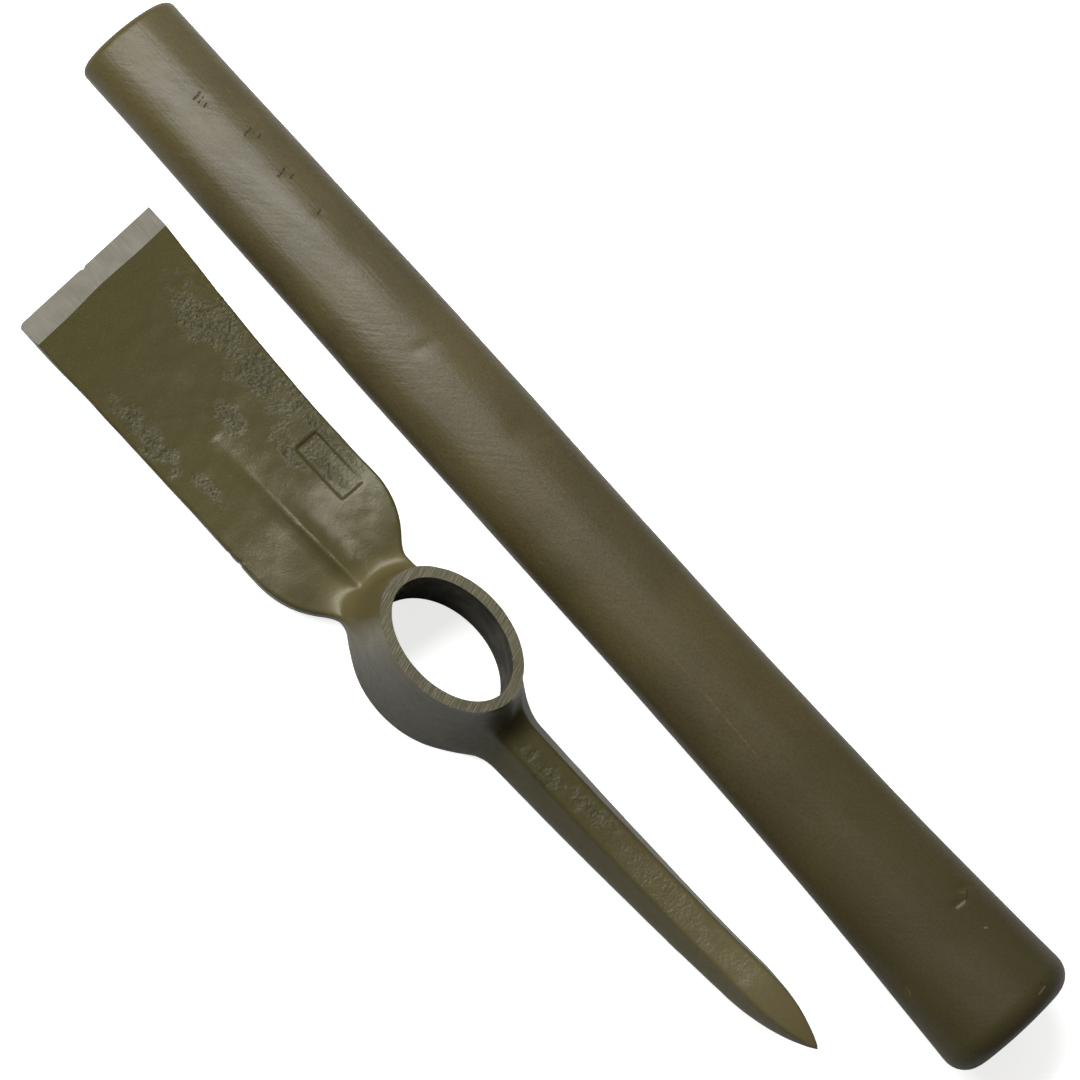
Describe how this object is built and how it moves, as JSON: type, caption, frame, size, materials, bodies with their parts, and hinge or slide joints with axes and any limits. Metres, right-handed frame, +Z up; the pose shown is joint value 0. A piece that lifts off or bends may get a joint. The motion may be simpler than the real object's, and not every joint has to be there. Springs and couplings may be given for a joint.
{
  "type": "pick axe",
  "caption": "Short pick mattock taken apart: a painted forged head with hoe blade, oval eye and pick, lying beside its flared drop-through wooden handle.",
  "frame": {"origin": "middle of the two pieces as they lie, seen from above, at the height of the surface that they lie on", "axes": "+X along the handle towards its flared end, +Y from the head towards the handle, +Z up, along the eye"},
  "size_m": [0.4002, 0.1084, 0.0357],
  "materials": {
    "painted_wood": "satin olive paint",
    "painted_steel": "satin olive paint"
  },
  "bodies": {
    "handle": {"handle": "painted_wood"},
    "head": {"head": "painted_steel"}
  },
  "joints": [
    {"name": "head_slide", "type": "slide", "parent": "handle", "child": "head", "axis": [0, 0, 1], "range_m": [0, 0.38]}
  ]
}
